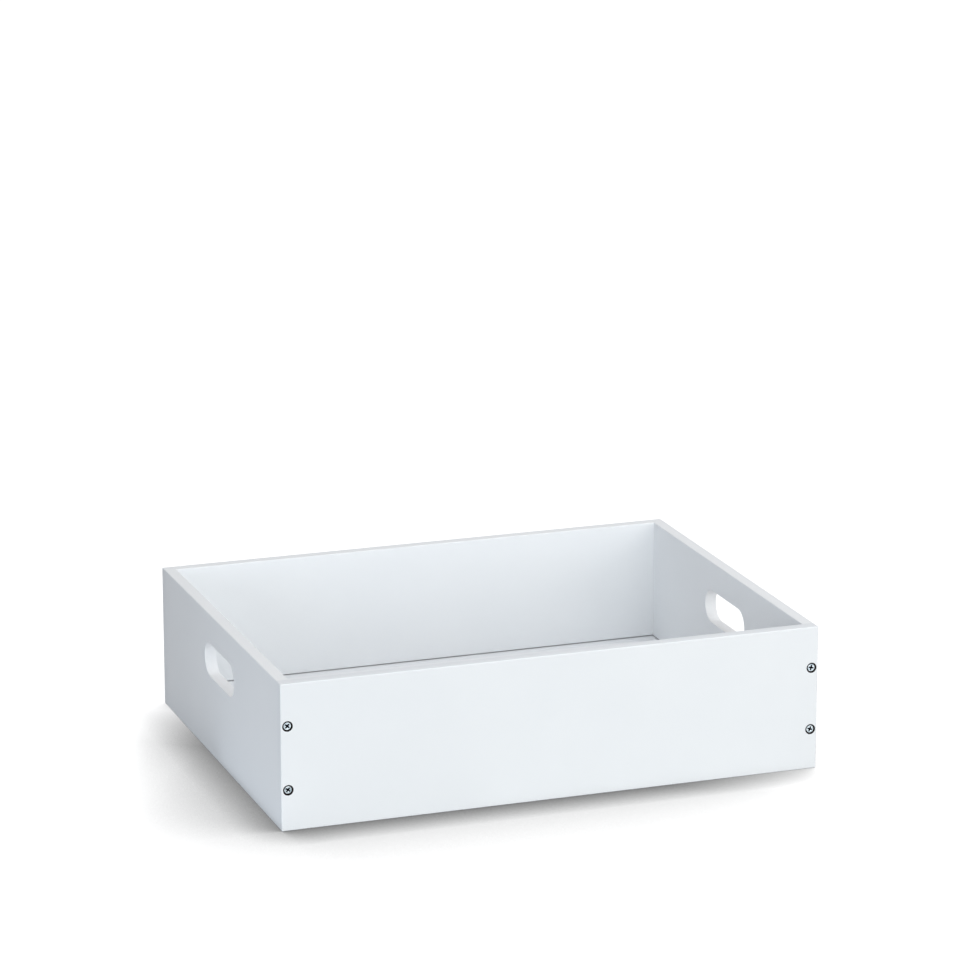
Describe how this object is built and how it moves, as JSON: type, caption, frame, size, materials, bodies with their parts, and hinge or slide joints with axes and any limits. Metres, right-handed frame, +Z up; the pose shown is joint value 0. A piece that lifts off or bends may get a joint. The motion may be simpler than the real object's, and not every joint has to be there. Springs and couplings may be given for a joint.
{
  "type": "stackable storage box",
  "caption": "Open-topped stackable storage box of white painted boards, screwed at the corners round a grooved-in base panel, with a rounded hand-hole in both short sides.",
  "frame": {"origin": "on the ground, under the middle of the box", "axes": "+X along the long front to the right, +Y from the front board to the back board, +Z up through the open top"},
  "size_m": [0.4, 0.3, 0.106],
  "materials": {
    "board_lacquer": "satin white lacquer on medium density fibreboard",
    "panel_lacquer": "satin white lacquer on thin fibreboard",
    "zinc": "bright zinc plating"
  },
  "bodies": {
    "root": {"front_board": "board_lacquer", "back_board": "board_lacquer", "left_side": "board_lacquer", "right_side": "board_lacquer", "base_panel": "panel_lacquer", "screw_front_left_lower": "zinc", "screw_front_left_upper": "zinc", "screw_front_right_lower": "zinc", "screw_front_right_upper": "zinc", "screw_back_left_lower": "zinc", "screw_back_left_upper": "zinc", "screw_back_right_lower": "zinc", "screw_back_right_upper": "zinc"}
  },
  "joints": []
}
